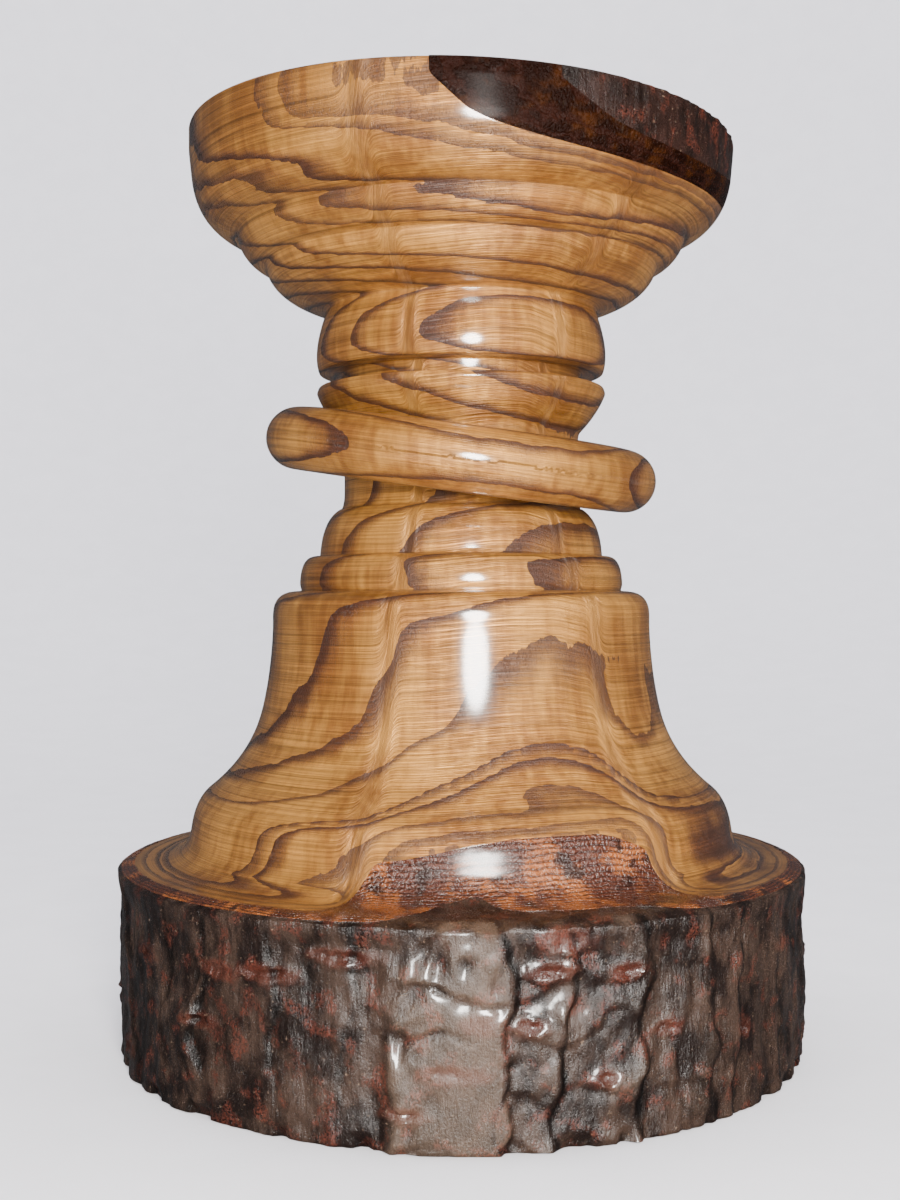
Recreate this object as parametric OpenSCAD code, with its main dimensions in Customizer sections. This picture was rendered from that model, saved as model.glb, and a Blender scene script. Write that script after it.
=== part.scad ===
// Natural-edge candlestick, spindle-turned from one log with a captive loose ring.
// The origin is on the turning axis in the plane of the underside, +Z is up,
// and the front, where the thick bark scar of the base shows, is the -Y side.

/* [Overall] */
// Height on the axis, underside to rim
height = 150; // [128:1:190]
// Slope of the sawn rim, high on the left
rim_slant = 2; // [0:0.5:4]

/* [Base] */
// Mean radius over the bark of the base
base_r = 58; // [48:0.5:72]
// Height of the bark-covered base
base_h = 31; // [25:0.5:38]
// Width of the turned ledge around the bell
ledge_w = 12.8; // [10:0.2:15]
// Radius of the chuck recess in the underside
recess_r = 26; // [20:0.5:32]
// Depth of the chuck recess
recess_depth = 2.4; // [1:0.2:4]

/* [Bark] */
// Thickness of the inner bark
inner_bark_t = 1.2; // [0.8:0.1:2]
// Mean thickness of the outer bark
outer_bark_t = 1.6; // [1.2:0.1:3]
// Height of the vertical ridges on the outer bark
bark_ridge = 0.5; // [0.1:0.1:0.7]
// How far the bark of the scar reaches into the base
scar_depth = 11.2; // [8:0.2:13]
// Half the width of the scar, in degrees round the base
scar_half_width = 28.5; // [22:0.5:34]
// Depth of the bark left on the rim, at its deepest
rim_bark_depth = 2.6; // [2.2:0.1:4]
// Thickness of the inner bark on the rim
rim_phloem_t = 1.6; // [1:0.1:1.8]
// How far the log's centre lies off the turning axis at the rim
rim_log_shift = 5.5; // [4.5:0.1:9]

/* [Stem] */
// Radius of the neck that the ring rides on
neck_r = 19.75; // [15:0.25:26]
// Length of the neck
neck_h = 13.1; // [10.5:0.1:16]
// How far the collar stands out from the neck
collar_lip = 4.1; // [3:0.1:6]
// Height of the collar under the neck
collar_h = 7.8; // [6:0.1:10]
// How far the step stands out from the collar
step_lip = 3.4; // [2:0.1:5]
// Height of the step under the collar
step_h = 5.8; // [4:0.1:8]
// How far the bell's shoulder stands out from the step
shoulder_lip = 4.5; // [3:0.1:6]
// Height of the flared flange above the neck
flange_h = 7.4; // [6:0.1:9]
// Depth of the groove between flange and bead
groove_depth = 4.3; // [2:0.1:6]
// Height of the groove
groove_h = 2.4; // [1.5:0.1:4]
// Height of the bead above the groove
bead_h = 10.4; // [8:0.1:13]

/* [Captive ring] */
// Diameter of the ring's round section
ring_section_d = 10.4; // [8.5:0.1:12.5]
// Play between ring and neck, all round
ring_play = 2.95; // [2:0.05:4]
// How far the flange overhangs the ring's hole
ring_overhang = 1.7; // [1:0.1:3]
// Least gap between the leaning ring and the flange
ring_gap = 0.8; // [0.4:0.1:1.5]
// Direction of the ring's high side
lean_direction = 149; // [0:1:360]

/* [Cup] */
// Height of the turned wooden cup
cup_h = 27.8; // [24:0.2:34]
// Radius of the rim
cup_r = 45.6; // [37:0.2:56]
// Width of the flat rim
rim_w = 6.5; // [4:0.5:9]
// Depth of the drip dish in the top
dish_depth = 4; // [2:0.5:5]

/* [Candle cup] */
// Diameter of the candle socket
candle_d = 22; // [18:0.5:27]
// Depth of the socket
socket_depth = 24; // [20:0.5:26]
// Thickness of the sheet brass
brass_t = 0.9; // [0.7:0.05:1.2]
// Width of the brass flange
brass_flange = 4.8; // [3:0.2:6]
// Gap between the brass and the hole in the wood
socket_gap = 0.1; // [0.05:0.05:0.4]
// Radius of the well in the socket's floor, where the screw's head sits
well_r = 7; // [5:0.2:8]
// Depth of the well
well_depth = 3.2; // [2.5:0.1:5]

/* [Cup screw] */
// Diameter of the thread
screw_d = 3; // [2.5:0.1:4]
// Length under the head
screw_l = 12; // [8:0.5:14]
// Diameter of the pan head
screw_head_d = 6; // [5:0.1:8]

/* [Hidden] */
$fn = 96;
wood = [0.78, 0.58, 0.32];
ring_wood = [0.72, 0.50, 0.25];
inner_bark = [0.36, 0.14, 0.07];
outer_bark = [0.24, 0.19, 0.16];
brass = [0.80, 0.63, 0.30];
steel = [0.65, 0.66, 0.68];

// Radii of the stem, from the neck outwards
groove_r = neck_r + ring_play + ring_overhang - groove_depth;
flange_r = neck_r + ring_play + ring_overhang;
collar_r = neck_r + collar_lip;
step_r = collar_r + step_lip;
bell_r = step_r + shoulder_lip;
cove_r = flange_r - 1.6;

// Levels, from the rim down to the base
cup_z = height - cup_h;
bead_z = cup_z - bead_h;
groove_z = bead_z - groove_h;
flange_z = groove_z - flange_h;
neck_z = flange_z - neck_h;
collar_z = neck_z - collar_h;
step_z = collar_z - step_h;

// Base and bell
foot_r = base_r - ledge_w;
wood_r = base_r - outer_bark_t - inner_bark_t;
phloem_r = base_r - outer_bark_t;
turn_r = base_r + 1.5;
foot_z = base_h + 5;
ogee_r = foot_r - 2.9;
ogee_z = foot_z + 6.4;
bell_rise = step_z - ogee_z;
waist_r = bell_r + 0.17 * (ogee_r - bell_r);
waist_z = ogee_z + 0.395 * bell_rise;
shoulder_z = step_z - 6.1;

// Where the bark reaches furthest in, as angles from +X
scar_angle = -78;
flap_angle = -91;
plate_angle = -74;
rim_bark_angle = -35;

// Ring: it leans until it nearly meets the flange
section_r = ring_section_d / 2;
ring_mid_r = neck_r + ring_play + section_r;
lean_reserve = 4.6;
lean_rise = (neck_h - lean_reserve) / 2;
lean = asin(lean_rise / ring_mid_r);
neck_flare = 0.35;
flare_w = flange_r - neck_r - neck_flare;
flare_h = flange_h - 2;
flare_len = sqrt(flare_w * flare_w + flare_h * flare_h);
ring_reach = ring_mid_r * cos(lean) - neck_r - neck_flare;
ring_drop = ((section_r + ring_gap) * flare_len - ring_reach * flare_h) / flare_w;
ring_z = flange_z - max(ring_drop, 0) - lean_rise;

// Top: dish, socket, brass cup and screw
dish_r = cup_r - rim_w;
landing_z = height - dish_depth;
bore_r = candle_d / 2;
tube_r = bore_r + brass_t;
landing_r = tube_r + brass_flange + 1;
socket_floor_z = landing_z - socket_depth;
screw_r = screw_d / 2;
screw_gap = 0.1;
mouth_bevel = 0.6;

// Points of a curve from a to b that leaves and arrives along the lines to c
function bend(a, c, b, n = 8) =
    [for (i = [0 : n]) let (t = i / n) (1 - t) * (1 - t) * a + 2 * t * (1 - t) * c + t * t * b];

// A flat-topped hump: 1 within half_width degrees of the angle, 0 well outside it
function off_angle(a, at) = abs(((a - at + 540) % 360) - 180);
function hump(a, at, half_width, edge) = 1 / (1 + pow(off_angle(a, at) / half_width, edge));

// Outlines of the log in plan: wood, inner bark and the ridged outer bark
function wood_outline(a) = wood_r - scar_depth * hump(a, scar_angle, scar_half_width, 12);
function phloem_outline(a) =
    phloem_r - 7.6 * hump(a, flap_angle, 6, 4) - 4.6 * hump(a, plate_angle, 14, 6);
function bark_outline(a) =
    base_r + bark_ridge * (0.5 * cos(6 * a) + 0.35 * cos(14 * a + 40) + 0.35 * cos(22 * a - 70));
step_angle = 3;
function ring_of(radii) = [for (i = [0 : len(radii) - 1]) let (a = i * step_angle)
    radii[i] * [cos(a), sin(a)]];
wood_points = ring_of([for (a = [0 : step_angle : 359]) wood_outline(a)]);
phloem_points = ring_of([for (a = [0 : step_angle : 359]) phloem_outline(a)]);
bark_points = ring_of([for (a = [0 : step_angle : 359]) bark_outline(a)]);

// Half outline of the turning, from the underside up to above the rim
base_curve = concat([[0, 0], [base_r - 1.4, 0], [turn_r, 3.2]],
    bend([turn_r, base_h - 4.6], [base_r - 0.3, base_h], [base_r - 4.5, base_h + 0.1], 6),
    bend([foot_r + 5.3, base_h + 0.2], [foot_r + 0.6, base_h + 0.6], [foot_r, foot_z], 6));
bell_curve = concat(
    bend([foot_r, foot_z], [foot_r - 0.6, foot_z + 4.6], [ogee_r, ogee_z], 6),
    bend([ogee_r, ogee_z], [ogee_r - 0.67 * (ogee_r - waist_r) - 1, ogee_z + 0.42 * (waist_z - ogee_z)],
        [waist_r, waist_z]),
    bend([waist_r, waist_z], [bell_r + 0.3, (waist_z + shoulder_z) / 2 - 0.8], [bell_r, shoulder_z], 6),
    bend([bell_r, shoulder_z + 2.2], [bell_r - 0.1, step_z - 0.4], [bell_r - 3.4, step_z - 0.1], 6));
stem_curve = concat(
    [[step_r - 0.3, step_z]],
    bend([step_r, step_z + 1], [step_r - 0.1, collar_z - 0.6], [step_r - 2, collar_z - 0.1], 5),
    bend([collar_r, collar_z], [collar_r - 0.3, neck_z - 1.8], [neck_r + 0.9, neck_z], 6),
    bend([neck_r + 0.5, neck_z + 0.1], [neck_r, neck_z + 1], [neck_r, neck_z + 3], 4),
    [[neck_r, flange_z - 3]],
    bend([neck_r, flange_z - 2.5], [neck_r, flange_z - 0.6], [neck_r + neck_flare, flange_z], 4));
bead_curve = concat(
    bend([neck_r + neck_flare, flange_z], [flange_r - 1.2, flange_z + 3.2],
        [flange_r, flange_z + flange_h - 1], 6),
    [[flange_r - 0.3, groove_z - 0.1], [groove_r, groove_z], [groove_r, bead_z]],
    bend([flange_r - 0.4, bead_z + 0.1], [flange_r + 0.9, bead_z + 3.6], [cove_r, cup_z], 8));
cup_curve = concat(
    bend([cove_r + 0.3, cup_z + 0.4], [cup_r - 13.6, cup_z + 2.4], [cup_r - 12.6, cup_z + 7.4], 8),
    bend([cup_r - 12.2, cup_z + 7.5], [cup_r - 8.6, cup_z + 8.6], [cup_r - 7.8, cup_z + 12.6], 6),
    bend([cup_r - 7.3, cup_z + 12.7], [cup_r - 1, cup_z + 14.4], [cup_r - 0.4, cup_z + 21.8], 8),
    [[cup_r, cup_z + 25.6], [cup_r, height + 6], [0, height + 6]]);

// The turned shape as if the whole log were solid, with its slanted top
module turned_blank() {
    difference() {
        rotate_extrude(convexity = 8)
            polygon(concat(base_curve, bell_curve, stem_curve, bead_curve, cup_curve));
        translate([0, 0, height]) rotate([0, rim_slant, 0])
            translate([-2 * cup_r, -2 * cup_r, 0]) cube([4 * cup_r, 4 * cup_r, 20]);
        translate([0, 0, -1]) cylinder(r = recess_r, h = recess_depth + 1);
        dish();
    }
}

// The shallow dish that catches the drips
module dish() {
    rotate_extrude() polygon(concat([[0, landing_z], [landing_r, landing_z]],
        bend([landing_r, landing_z], [dish_r - 6, landing_z + 0.4], [dish_r, height], 6),
        [[dish_r + 1.5, height + 3], [0, height + 3]]));
}

// A slab over the base and the bell's foot, in the plan shape of its children
module base_slab() {
    translate([0, 0, -1]) linear_extrude(height = ogee_z + 2) children();
}

// The log at the rim is a circle set off to the left, so only its right side keeps bark
rim_log_r = cup_r - rim_bark_depth + rim_log_shift;
module rim_log(extra) {
    rotate(rim_bark_angle) translate([-rim_log_shift, 0]) circle(r = rim_log_r + extra);
}

// A tall slab over the upper part of the cup, in the plan shape of its children
module rim_slab() {
    translate([0, 0, cup_z + 8]) linear_extrude(height = cup_h) children();
}

module turned_body() {
    color(wood) difference() {
        turned_blank();
        base_slab() difference() {
            circle(r = turn_r + 5);
            polygon(wood_points);
        }
        rim_slab() difference() {
            circle(r = cup_r + 5);
            rim_log(0);
        }
        translate([0, 0, socket_floor_z + well_depth])
            cylinder(r = tube_r + socket_gap, h = socket_depth + 10);
        translate([0, 0, socket_floor_z]) cylinder(r = well_r + brass_t + socket_gap, h = socket_depth);
        translate([0, 0, socket_floor_z - screw_l - 1]) cylinder(r = screw_r + screw_gap, h = screw_l + 2);
    }
}

module captive_ring() {
    color(ring_wood) translate([0, 0, ring_z]) rotate([0, 0, lean_direction]) rotate([0, -lean, 0])
        rotate_extrude() translate([ring_mid_r, 0]) circle(r = section_r);
}

// The part of the base between two outlines of the log
module base_layer(inside, outside) {
    intersection() {
        turned_blank();
        base_slab() difference() {
            polygon(outside);
            polygon(inside);
        }
    }
}

module base_inner_bark() {
    color(inner_bark) base_layer(wood_points, phloem_points);
}

module base_outer_bark() {
    color(outer_bark) base_layer(phloem_points, bark_points);
}

module rim_inner_bark() {
    color(inner_bark) intersection() {
        turned_blank();
        rim_slab() difference() {
            rim_log(rim_phloem_t);
            rim_log(0);
        }
    }
}

module rim_outer_bark() {
    color(outer_bark) intersection() {
        turned_blank();
        rim_slab() difference() {
            circle(r = cup_r + 5);
            rim_log(rim_phloem_t);
        }
    }
}

// Pressed brass: flange, straight tube, a shoulder that the candle stands on, and the well
module candle_cup() {
    flange_r = tube_r + brass_flange;
    color(brass) translate([0, 0, socket_floor_z]) rotate_extrude() polygon(concat(
        [[screw_r + screw_gap, 0], [well_r + brass_t, 0], [well_r + brass_t, well_depth]],
        [[tube_r, well_depth], [tube_r, socket_depth], [flange_r, socket_depth]],
        [[flange_r + 0.2, socket_depth + brass_t / 2], [flange_r - 0.2, socket_depth + brass_t]],
        [[bore_r + mouth_bevel, socket_depth + brass_t], [bore_r, socket_depth + brass_t - mouth_bevel]],
        [[bore_r, well_depth + brass_t], [well_r, well_depth + brass_t]],
        [[well_r, brass_t], [screw_r + screw_gap, brass_t]]));
}

// Wood screw with a pan head, ringed thread, point and a cross recess
thread_pitch = 1.2;
thread_n = floor((screw_l - brass_t - 2.4) / thread_pitch);
thread_top = -brass_t;
module cup_screw() {
    head_r = screw_head_d / 2;
    root_r = screw_r * 0.72;
    color(steel) translate([0, 0, socket_floor_z + brass_t]) difference() {
        rotate_extrude() polygon(concat(
            [[0, -screw_l], [root_r, thread_top - thread_n * thread_pitch]],
            [for (i = [thread_n - 1 : -1 : 0], p = [[root_r, 0.35], [screw_r, 0.6], [root_r, 0.85]])
                [p[0], thread_top - (i + 1) * thread_pitch + p[1] * thread_pitch]],
            [[root_r, thread_top], [screw_r, thread_top + 0.3], [screw_r, 0], [head_r, 0], [head_r, 0.6]],
            bend([head_r, 0.6], [head_r - 0.5, 1.7], [0, 1.9], 5)));
        for (turn = [0, 90])
            rotate([0, 0, turn + 30]) translate([-head_r * 0.55, -0.35, 1]) cube([head_r * 1.1, 0.7, 2]);
    }
}

turned_body();
captive_ring();
base_inner_bark();
base_outer_bark();
rim_inner_bark();
rim_outer_bark();
candle_cup();
cup_screw();
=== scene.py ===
import math
import random

import bmesh
import bpy
from bpy.props import FloatProperty, FloatVectorProperty, IntProperty, PointerProperty
from mathutils import Matrix, Vector, noise


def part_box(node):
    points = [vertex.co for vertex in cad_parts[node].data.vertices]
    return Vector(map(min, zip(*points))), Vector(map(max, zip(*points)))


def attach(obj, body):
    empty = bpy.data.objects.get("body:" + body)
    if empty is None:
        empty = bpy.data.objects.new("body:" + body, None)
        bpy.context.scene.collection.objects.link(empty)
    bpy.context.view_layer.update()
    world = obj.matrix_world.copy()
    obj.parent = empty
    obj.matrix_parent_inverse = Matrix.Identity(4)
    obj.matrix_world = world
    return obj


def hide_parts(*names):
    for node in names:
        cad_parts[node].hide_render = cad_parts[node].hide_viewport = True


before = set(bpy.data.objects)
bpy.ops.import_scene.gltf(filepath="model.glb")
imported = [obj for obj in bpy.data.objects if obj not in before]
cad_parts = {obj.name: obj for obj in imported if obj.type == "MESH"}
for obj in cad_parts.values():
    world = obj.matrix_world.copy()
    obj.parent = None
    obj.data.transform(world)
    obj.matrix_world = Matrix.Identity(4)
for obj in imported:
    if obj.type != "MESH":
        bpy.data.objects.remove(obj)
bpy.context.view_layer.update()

bl_info = {
    "name": "Natural-edge candlestick",
    "version": (1, 0, 0),
    "blender": (4, 5, 0),
    "location": "3D View > Sidebar > Candlestick",
    "description": "Turned wood, bark and brass around the packed candlestick, with its studio",
    "category": "Object",
}

MM = 0.001

# ---- sizes of the turning, in millimetres

HEIGHT = 150.0
RIM_SLOPE = math.tan(math.radians(2))
BASE_R, BASE_H, LEDGE_W = 58.0, 31.0, 12.8
WOOD_R, PHLOEM_R = 55.2, 56.4
RECESS_R, RECESS_DEPTH = 26.0, 2.4
NECK_R, FLANGE_R, GROOVE_R, COVE_R = 19.75, 24.4, 20.1, 22.8
COLLAR_R, STEP_R, BELL_R, CUP_R = 23.85, 27.25, 31.75, 45.6
STEP_Z, COLLAR_Z, NECK_Z, FLANGE_Z = 75.3, 81.1, 88.9, 102.0
GROOVE_Z, BEAD_Z, CUP_Z = 109.4, 111.8, 122.2
DISH_R, LANDING_R, LANDING_Z = 39.1, 17.7, 146.0
SOCKET_R, SHELF_Z, WELL_R, SOCKET_FLOOR_Z = 12.0, 125.2, 8.0, 122.0
SCREW_HOLE_R, SCREW_HOLE_Z = 1.6, 109.0
FOOT_R, FOOT_Z = BASE_R - LEDGE_W, BASE_H + 5
OGEE_R, OGEE_Z = FOOT_R - 2.9, FOOT_Z + 6.4
WAIST_R = BELL_R + 0.17 * (OGEE_R - BELL_R)
WAIST_Z = OGEE_Z + 0.395 * (STEP_Z - OGEE_Z)
SHOULDER_Z = STEP_Z - 6.1

RING_R, RING_SECTION_R, RING_Z = 27.9, 5.2, 97.5
RING_LEAN, RING_HIGH_SIDE = math.radians(8.8), math.radians(149)

RIM_LOG_R, RIM_LOG_SHIFT, RIM_BARK_SIDE = 48.5, 5.5, 55
RIM_PHLOEM_T = 1.6

# The outer bark's mean radius, how much it swells near its top, and how far it may reach to the side and front
BARK_R, BARK_SWELL, BARK_REACH_X, BARK_REACH_Y = 56.2, 0.7, 58.40, 57.60
RELIEF_R = 57

# Rows of a section along each part of the cut
FOOT_ROWS, MIDDLE_ROWS, CUP_ROWS, DISH_ROWS = 34, 150, 36, 12
PHLOEM_ROWS, BARK_ROWS, SAWN_ROWS, RIM_ROWS = 33, 63, 16, 28


def bend(a, c, b, steps=12):
    """Points of a curve from a to b that leaves and arrives along the lines to c."""
    points = []
    for i in range(steps + 1):
        t = i / steps
        points.append(tuple((1 - t) ** 2 * p + 2 * t * (1 - t) * q + t * t * s for p, q, s in zip(a, c, b)))
    return points


def outline_points():
    """Radius and height of the lathe's cut, from the foot of the bark up past the rim."""
    turn_r = BASE_R + 1.5
    points = [(turn_r, 3.2)]
    points += bend((turn_r, BASE_H - 4.6), (BASE_R - 0.3, BASE_H), (BASE_R - 4.5, BASE_H + 0.1))
    points += bend((FOOT_R + 5.3, BASE_H + 0.2), (FOOT_R + 0.6, BASE_H + 0.6), (FOOT_R, FOOT_Z))
    points += bend((FOOT_R, FOOT_Z), (FOOT_R - 0.6, FOOT_Z + 4.6), (OGEE_R, OGEE_Z))
    points += bend((OGEE_R, OGEE_Z),
                   (OGEE_R - 0.67 * (OGEE_R - WAIST_R) - 1, OGEE_Z + 0.42 * (WAIST_Z - OGEE_Z)),
                   (WAIST_R, WAIST_Z))
    points += bend((WAIST_R, WAIST_Z), (BELL_R + 0.3, (WAIST_Z + SHOULDER_Z) / 2 - 0.8), (BELL_R, SHOULDER_Z))
    points += bend((BELL_R, SHOULDER_Z + 2.2), (BELL_R - 0.1, STEP_Z - 0.4), (BELL_R - 3.4, STEP_Z - 0.1))
    points += [(STEP_R - 0.3, STEP_Z)]
    points += bend((STEP_R, STEP_Z + 1), (STEP_R - 0.1, COLLAR_Z - 0.6), (STEP_R - 2, COLLAR_Z - 0.1))
    points += bend((COLLAR_R, COLLAR_Z), (COLLAR_R - 0.3, NECK_Z - 1.8), (NECK_R + 0.9, NECK_Z))
    points += bend((NECK_R + 0.5, NECK_Z + 0.1), (NECK_R, NECK_Z + 1), (NECK_R, NECK_Z + 3))
    points += bend((NECK_R, FLANGE_Z - 2.5), (NECK_R, FLANGE_Z - 0.6), (NECK_R + 0.35, FLANGE_Z))
    points += bend((NECK_R + 0.35, FLANGE_Z), (FLANGE_R - 1.2, FLANGE_Z + 3.2), (FLANGE_R, GROOVE_Z - 1))
    points += [(FLANGE_R - 0.3, GROOVE_Z - 0.1), (GROOVE_R, GROOVE_Z), (GROOVE_R, BEAD_Z)]
    points += bend((FLANGE_R - 0.4, BEAD_Z + 0.1), (FLANGE_R + 0.9, BEAD_Z + 3.6), (COVE_R, CUP_Z))
    points += bend((COVE_R + 0.3, CUP_Z + 0.4), (CUP_R - 13.6, CUP_Z + 2.4), (CUP_R - 12.6, CUP_Z + 7.4))
    points += bend((CUP_R - 12.2, CUP_Z + 7.5), (CUP_R - 8.6, CUP_Z + 8.6), (CUP_R - 7.8, CUP_Z + 12.6))
    points += bend((CUP_R - 7.3, CUP_Z + 12.7), (CUP_R - 1, CUP_Z + 14.4), (CUP_R - 0.4, CUP_Z + 21.8))
    return points + [(CUP_R, CUP_Z + 25.6), (CUP_R, HEIGHT + 4)]


class Cut:
    """The lathe's cut as an even run of points, whose corners are eased as sanding leaves them."""

    def __init__(self, points, step=0.1, easing=4):
        run = [points[0]]
        for a, b in zip(points, points[1:]):
            length = math.dist(a, b)
            count = max(1, round(length / step))
            run += [(a[0] + (b[0] - a[0]) * i / count, a[1] + (b[1] - a[1]) * i / count)
                    for i in range(1, count + 1)] if length > 1e-6 else []
        for _ in range(easing):
            run = [run[0]] + [tuple((p + 2 * q + s) / 4 for p, q, s in zip(*three))
                              for three in zip(run, run[1:], run[2:])] + [run[-1]]
        self.run = run

    def at(self, place):
        """Radius and height at a place along the run."""
        place = min(max(place, 0), len(self.run) - 1.001)
        i = int(place)
        t = place - i
        (r0, z0), (r1, z1) = self.run[i], self.run[i + 1]
        return r0 + (r1 - r0) * t, z0 + (z1 - z0) * t

    def where(self, value, low, high):
        """Place between low and high where value(r, z) passes zero."""
        sign = value(*self.at(low)) > 0
        for _ in range(26):
            middle = (low + high) / 2
            if (value(*self.at(middle)) > 0) == sign:
                low = middle
            else:
                high = middle
        return (low + high) / 2

    def spread(self, low, high, count):
        """Places between low and high, closer together where the cut turns sharply."""
        cost = [0.0]
        first, last = int(low), int(high)
        for i in range(first + 1, last + 1):
            (r0, z0), (r1, z1), (r2, z2) = self.run[i - 1], self.run[i], self.run[i + 1]
            turn = abs(math.atan2((r1 - r0) * (z2 - z1) - (z1 - z0) * (r2 - r1),
                                  (r1 - r0) * (r2 - r1) + (z1 - z0) * (z2 - z1)))
            cost.append(cost[-1] + 1 + 26 * min(turn, 0.6))
        places, i = [], 0
        for k in range(count):
            goal = cost[-1] * k / count
            while cost[i + 1] < goal:
                i += 1
            places.append(first + i + (goal - cost[i]) / (cost[i + 1] - cost[i]))
        return places


CUT = Cut(outline_points())
BARK_TOP = next(i for i, (r, z) in enumerate(CUT.run) if z > BASE_H - 4.6)
WAIST = next(i for i, (r, z) in enumerate(CUT.run) if z > WAIST_Z)
ABOVE_SCAR = next(i for i, (r, z) in enumerate(CUT.run) if z > 42.5)
CUP_STEP = next(i for i, (r, z) in enumerate(CUT.run) if z > CUP_Z + 12.4)
RIM_END = len(CUT.run) - 2


# ---- the log: its outline and its years

def turned_by(a, b):
    """Difference of two bearings, from -180 to 180 degrees. Bearings run from the front to the right."""
    return (a - b + 180) % 360 - 180


def smooth(value, low=0.0, high=1.0):
    t = min(max((value - low) / (high - low), 0), 1)
    return t * t * (3 - 2 * t)


def hump(bearing, at, half_width, edge):
    return 1 / (1 + (abs(turned_by(bearing, at)) / half_width) ** edge)


def base_wood(bearing):
    """Outline of the wood in the base, with the scar where the bark reaches in."""
    side = turned_by(bearing, 0)
    reach = 10.1 + 1.0 * smooth(side, -16, 16) - 0.8 * smooth(side, 25, 37)
    return WOOD_R - 0.9 - (reach - 0.9) * hump(bearing, 10, 29.8, 36)


def base_phloem(bearing):
    """Outline of the inner bark in the base, cut back under the flap and the plate of outer bark."""
    return PHLOEM_R - 7.6 * hump(bearing, -1, 6, 4) - 4.6 * hump(bearing, 16, 14, 6)


def rim_wood(bearing):
    """Outline of the wood at the rim: a circle set off to the left of the lathe's axis."""
    a = math.radians(turned_by(bearing, RIM_BARK_SIDE))
    return math.sqrt(RIM_LOG_R ** 2 - (RIM_LOG_SHIFT * math.sin(a)) ** 2) - RIM_LOG_SHIFT * math.cos(a)


# Where the log swelled or was drawn in: bearing, height, reach round it, reach up and down, amount
SWELLS = [
    (-29, 36, 15, 6, -3.4),
    (18, 49, 22, 5, -3.6),
    (10, 63, 26, 8, -1.5),
    (54, 54, 13, 9, 1.6),
    (-50, 43.5, 25, 2.5, 1.3),
    (0, 75, 40, 4, 1.1),
    (-32, 147, 18, 7, -1.9),
    (-40, 139.5, 22, 3, 1.4),
    (-35, 130.5, 42, 5.6, -3.6),
    (25, 132, 22, 3, -1.6),
    (-20, 117, 110, 6.5, -5.0),
    (165, 55, 30, 9, -2.4),
    (-140, 62, 24, 8, 1.8),
    (120, 44, 20, 6, 1.6),
    (-170, 136, 40, 4, -2.2),
    (130, 131, 26, 5, 1.7),
    (-110, 70, 30, 5, -1.6),
]
# How far each growth line lies under the bark, in the base and at the rim
YEARS_LOW = [0, 0.9, 2.8, 4.5, 5.3, 12.4, 14.5, 17.2, 20.5, 23.5, 26.5, 30, 33, 36, 39, 41.5, 44, 46, 48, 49.4, 52]
YEARS_HIGH = [0, 0.9, 1.9, 6.2, 7.8, 9, 14, 17, 20, 23, 26, 29.5, 33, 36, 39, 41.5, 44, 46, 48, 49.4, 52]
# How much of the base's outline is left at each height
SCAR_FADE = [(0, 1), (31, 1), (33, 0.62), (37.5, 0.55), (43, 0.36), (50, 0.15), (60, 0), (200, 0)]


def log_outline(bearing, z):
    """Radius of the whole log under its bark, at a bearing and height."""
    for (z0, f0), (z1, f1) in zip(SCAR_FADE, SCAR_FADE[1:]):
        if z <= z1:
            fade = f0 + (f1 - f0) * max(0, z - z0) / (z1 - z0)
            break
    soft = WOOD_R - 11.2 * hump(bearing, 12, 28.5, 8)
    radius = rim_wood(bearing) * (1 - fade) + soft * fade
    rise = min(max((z - BASE_H) / 2, 0), 1)
    for at, height, reach, up, amount in SWELLS:
        around, above = turned_by(bearing, at) / reach, abs(z - height) / up
        if abs(around) < 2.6 and above < 1.7:
            radius += rise * amount * math.exp(-around ** 2 - above ** 4)
    return radius


def ring_log(bearing):
    """Radius of the log round the loose ring, which has turned since it was cut free."""
    side = turned_by(bearing, 0)
    return 48 + 4 * smooth(side, -75, 10) * (1 - smooth(side, 30, 80))


def year_at(z, r, outline):
    """Count of growth lines from the bark inwards, with its fraction, and the width of that year."""
    inner = min(max((r / outline - 0.05) / 0.3, 0), 1)
    depth = max(50 * (1 - inner) + outline * inner - r, 0)
    high = z / HEIGHT
    lines = [a + (b - a) * high for a, b in zip(YEARS_LOW, YEARS_HIGH)]
    k = next((i for i in range(1, len(lines)) if lines[i] > depth), len(lines) - 1)
    width = lines[k] - lines[k - 1]
    return k - 1 + (depth - lines[k - 1]) / width, width


# ---- bark relief

# Ridges that rise to the right and drop: bearing at the top and at the bottom, height, width of the rise
FOLDS = [(5, 4.5, 1.3, 9), (14, 12, 1.1, 7), (25.5, 24, 1.2, 9), (37, 38, 0.8, 8), (-16, -19, 0.6, 6),
         (-30, -28, 0.6, 7), (-44, -46, 0.7, 8)]
# Lenticels: bearing, height, half length, half height
LENTICELS = [(2, 17.5, 2.6, 1.5), (9, 16.7, 2.4, 1.4), (-1, 10.9, 5.2, 1.3), (20, 9.2, 2.0, 1.2),
             (14, 28.2, 4.2, 1.7), (12, 24, 3.6, 1.3), (23, 23.4, 3.4, 1.2), (-17, 25.6, 5.4, 1.3),
             (-29, 22.4, 5.2, 1.4), (-8, 5.5, 3.2, 1.1), (30, 15, 2.4, 1.1), (-42, 14, 3.6, 1.2)]
_draw = random.Random(7)
for _bearing in range(46, 320, 13):
    FOLDS.append((_bearing + _draw.uniform(-4, 4), _bearing + _draw.uniform(-5, 5),
                  _draw.uniform(0.35, 0.95), _draw.uniform(5, 10)))
    LENTICELS.append((_bearing + _draw.uniform(-5, 5), _draw.uniform(4, 26),
                      _draw.uniform(1.8, 5.0), _draw.uniform(1.0, 1.5)))


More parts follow.
